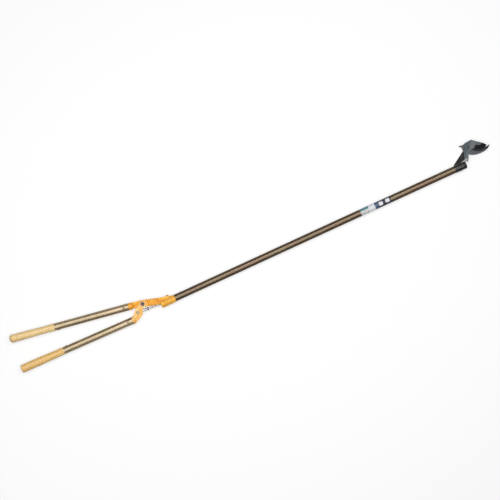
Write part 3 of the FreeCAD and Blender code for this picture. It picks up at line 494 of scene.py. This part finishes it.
def round_edges(names, width):
    """Break the sharp edges of CAD nodes."""
    for name in names:
        piece = frame["nodes"][name]
        weld = piece.modifiers.new("weld", "WELD")
        weld.merge_threshold = SAME_PLACE
        flat = piece.modifiers.new("flat", "DECIMATE")
        flat.decimate_type = "DISSOLVE"
        flat.delimit = {"MATERIAL"}
        flat.angle_limit = math.radians(0.5)
        edge = piece.modifiers.new("edge", "BEVEL")
        edge.width = width
        edge.segments = 3
        edge.limit_method = "ANGLE"
        edge.angle_limit = math.radians(35)
        edge.harden_normals = True


zinc = new_finish("zinc_steel", (0.62, 0.61, 0.58), 1.0, 0.3)
place = place_on(zinc)
spangle = noise(zinc, place, (220, 220, 220), 4)
feed(zinc, "Base Color", shades(zinc, spangle, (0.35, (0.45, 0.44, 0.42)), (0.65, (0.62, 0.61, 0.59))))
feed(zinc, "Roughness", between(zinc, spangle, 0.36, 0.52))
dress(["handle_washer_upper", "handle_washer_lower", "link_pin", "link_pin_clip", "blade_nut",
       "rod_end_rivet", "ferrule_rivet", "side_rivet"], zinc)
round_edges(["blade_nut"], 0.0004)

# The tubes' rivets are zinc-plated too, with the yellowish passivation that dulls it.

yellow_zinc = new_finish("yellow_zinc", (0.30, 0.25, 0.17), 1.0, 0.52)
spangle = noise(yellow_zinc, place_on(yellow_zinc), (260,) * 3, 3)
feed(yellow_zinc, "Base Color", shades(yellow_zinc, spangle, (0.35, (0.24, 0.19, 0.12)),
                                       (0.65, (0.36, 0.30, 0.21))))
feed(yellow_zinc, "Roughness", between(yellow_zinc, spangle, 0.46, 0.58))
dress(["fixed_tube_rivet", "lever_tube_rivet"], yellow_zinc)

# ---- Rod train -----------------------------------------------------------------------------
# The lever pulls the rod through an adjustable link: a bright eye and rod with a blackened lock
# nut between them. Blackened nuts lock the rod's fork and eye. The upper strap has gone dull.

dress(["link_eye", "rear_link", "link_strap_lower"], bright)
handled = drawn_steel("handled_steel", (0, AXIS_Y, AXIS_Z), 0,
                      (0.24, 0.24, 0.245), (0.33, 0.33, 0.335), 0.44)
dress(["link_strap_upper", "tang_rivet", "hook_rivet"], handled)
blackened = new_finish("dark_steel", (0.11, 0.086, 0.067), 1.0, 0.42)
place = place_on(blackened)
oil = noise(blackened, place, (180, 180, 180), 3)
feed(blackened, "Base Color", shades(blackened, oil, (0.3, (0.075, 0.056, 0.043)),
                                     (0.7, (0.15, 0.118, 0.092))))
feed(blackened, "Roughness", between(blackened, oil, 0.36, 0.52))
dress(["handle_bolt", "handle_nut", "pole_screw", "fixed_grip_screw", "lever_grip_screw", "lock_nut",
       "rear_rod_nut", "front_rod_nut"], blackened)
round_edges(["handle_bolt", "handle_nut", "lock_nut", "rear_rod_nut", "front_rod_nut", "link_strap_upper",
             "link_strap_lower"], 0.0004)

# ---- Head socket ---------------------------------------------------------------------------
# A steel ferrule with a leaning arm, gloss black, riveted over the pole's front end.

black = new_finish("black_casting", (0.008, 0.008, 0.006), 0.0, 0.28)
place = place_on(black)
cloud = noise(black, place, (90, 90, 90), 3)
feed(black, "Base Color", shades(black, cloud, (0.3, (0.009, 0.009, 0.007)), (0.7, (0.022, 0.020, 0.016))))
feed(black, "Roughness", between(black, cloud, 0.2, 0.32))
relief(black, noise(black, place, (500, 500, 500), 1), 0.00001)
dress(["head_socket"], black)
round_edges(["head_socket"], 0.0006)

# ---- Jaws ----------------------------------------------------------------------------------
# The blade is plate steel with a satin blue-grey non-stick coat, with a painted sheen that is paler
# over its middle. Its ground bevel is painted near black as a dark reflection, with a thin paler honed
# line along the very edge.

bolt_low, bolt_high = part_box("blade_bolt")
PIVOT = Vector(((bolt_low.x + bolt_high.x) / 2, (bolt_low.y + bolt_high.y) / 2, 0))
EDGE_MIDDLE = PIVOT + Vector((0.04705, 0.00795, 0))
EDGE_R = 0.0356
HONED = 0.0008
GRIND_TILT = (0.9, 0.99)
DARK_BAND_WIDTH = 0.0175
EDGE_WAY = math.radians(-97.5)
EDGE_SPREAD = math.radians(44.5)
PAINTED_SHEEN_ROOT = PIVOT + Vector((0.0255, 0.0186, 0))
PAINTED_SHEEN_TURN = math.radians(-39.4)

coated = new_finish("coated_blade", (0.065, 0.095, 0.11), 0.1, 0.45)
place = place_on(coated)
speckle = noise(coated, place, (1500, 1500, 1500), 2)
cloud = noise(coated, place, (60, 90, 90), 3)
# Painted sheen: a paler band across the blade's middle, darker to each side.
painted_sheen = add_node(coated, "ShaderNodeSeparateXYZ", {0: along_axis(coated, PAINTED_SHEEN_ROOT, PAINTED_SHEEN_TURN)})
painted_sheen = math_node(coated, "ADD", painted_sheen.outputs["X"], between(coated, cloud, -0.004, 0.004))
painted_sheen = add_node(coated, "ShaderNodeMapRange", {
    "Value": painted_sheen, "From Min": -0.01, "From Max": 0.04}).outputs["Result"]
tone = shades(coated, painted_sheen, (0.06, (0.055, 0.083, 0.097)), (0.34, (0.150, 0.156, 0.163)),
              (0.62, (0.105, 0.118, 0.127)), (0.95, (0.065, 0.082, 0.092)))
grit = shades(coated, speckle, (0.35, (0.85, 0.85, 0.85)), (0.65, (1.1, 1.1, 1.1)))
tone = add_node(coated, "ShaderNodeMix", {"Factor": 1.0, 6: tone, 7: grit},
                data_type="RGBA", blend_type="MULTIPLY").outputs[2]


def from_edge(material):
    """How far out from the middle of the edge's arc, and 1 to the side where the edge lies."""
    place = place_on(material)
    flat = add_node(material, "ShaderNodeVectorMath", {0: place, 1: EDGE_MIDDLE}, operation="SUBTRACT")
    flat = add_node(material, "ShaderNodeVectorMath", {0: flat.outputs[0], 1: (1, 1, 0)},
                    operation="MULTIPLY").outputs[0]
    out = add_node(material, "ShaderNodeVectorMath", {0: flat}, operation="LENGTH").outputs["Value"]
    heading = add_node(material, "ShaderNodeVectorMath", {0: flat}, operation="NORMALIZE").outputs[0]
    edge_way = (math.cos(EDGE_WAY), math.sin(EDGE_WAY), 0)
    way = add_node(material, "ShaderNodeVectorMath", {0: heading, 1: edge_way},
                   operation="DOT_PRODUCT").outputs["Value"]
    return flat, out, beyond(material, way, math.cos(EDGE_SPREAD), 0.03)


# A band of the coat beside the grind is painted near black as shade and dark reflection, with its
# reflection turned down.

_, out, facing = from_edge(coated)
dark_band_reach = math_node(coated, "ADD", out, between(coated, cloud, -0.0012, 0.0012))
painted_dark_band = math_node(coated, "MULTIPLY", facing, beyond(coated, dark_band_reach, EDGE_R - DARK_BAND_WIDTH, 0.0006))
# Painted shade and dark reflection beside the grind.
tone = overlay(coated, tone, (0.010, 0.010, 0.012), painted_dark_band)
feed(coated, "Base Color", tone)
feed(coated, "Specular IOR Level", between(coated, painted_dark_band, 0.5, 0.06))
feed(coated, "Roughness", between(coated, cloud, 0.38, 0.5))
relief(coated, speckle, 0.00002)
dress(["cutting_blade", "blade_bolt", "blade_washer"], coated)

# The ground bevel's near-black colour is a painted dark reflection of its polish; the grind marks vary it
# slightly.
ground = new_finish("ground_edge", (0.010, 0.010, 0.012), 0.0, 0.34, Specular_IOR_Level=0.06)
across, reach, _ = from_edge(ground)
split = add_node(ground, "ShaderNodeSeparateXYZ", {0: across}).outputs
fan = math_node(ground, "ARCTAN2", split["Y"], split["X"])
marks = add_node(ground, "ShaderNodeCombineXYZ", {"X": fan, "Y": reach})
marks = noise(ground, marks.outputs[0], (900, 60, 1), 3)
tone = shades(ground, marks, (0.35, (0.008, 0.008, 0.010)), (0.7, (0.022, 0.022, 0.025)))
honed = beyond(ground, reach, EDGE_R - HONED, 0.0001)
feed(ground, "Base Color", overlay(ground, tone, (0.16, 0.165, 0.17), honed))
feed(ground, "Roughness", between(ground, marks, 0.28, 0.42))
blade_mesh = frame["nodes"]["cutting_blade"].data
blade_mesh.materials.append(ground)
for face in blade_mesh.polygons:
    if GRIND_TILT[0] < face.normal.z < GRIND_TILT[1]:
        face.material_index = 1

# The hook is plate steel with a dark phosphate coat. It is darkened near black in a band in the
# mouth, beside the blade's edge, and at the tip.

MOUTH_DARK_WIDTH = 0.0045
TIP_DARK_FROM = 0.060
MOUTH_FROM = 0.012

phosphate = new_finish("hook_steel", (0.09, 0.098, 0.105), 0.0, 0.46)
place = place_on(phosphate)
crystal = noise(phosphate, place, (1900, 1900, 1900), 2)
blotch = noise(phosphate, place, (110, 110, 110), 3)
grey = add_node(phosphate, "ShaderNodeMix", {"Factor": 0.35, 2: blotch, 3: crystal}).outputs[0]
tone = shades(phosphate, grey, (0.35, (0.060, 0.067, 0.076)), (0.65, (0.095, 0.102, 0.112)))
_, reach, _ = from_edge(phosphate)
reach = math_node(phosphate, "ADD", reach, between(phosphate, blotch, -0.001, 0.001))
mouth = math_node(phosphate, "SUBTRACT", 1.0, beyond(phosphate, reach, EDGE_R + MOUTH_DARK_WIDTH, 0.0012))
toward_tip = add_node(phosphate, "ShaderNodeSeparateXYZ", {0: place}).outputs["X"]
tip = beyond(phosphate, toward_tip, PIVOT.x + TIP_DARK_FROM, 0.008)
in_mouth = beyond(phosphate, toward_tip, PIVOT.x + MOUTH_FROM, 0.004)
dark = math_node(phosphate, "MAXIMUM", math_node(phosphate, "MULTIPLY", mouth, in_mouth), tip)
feed(phosphate, "Base Color", overlay(phosphate, tone, (0.012, 0.013, 0.015), dark))
feed(phosphate, "Roughness", between(phosphate, crystal, 0.38, 0.54))
feed(phosphate, "Specular IOR Level", between(phosphate, dark, 0.5, 0.08))
dress(["hook_jaw"], phosphate)
round_edges(["cutting_blade"], 0.0003)
round_edges(["hook_jaw"], 0.0005)
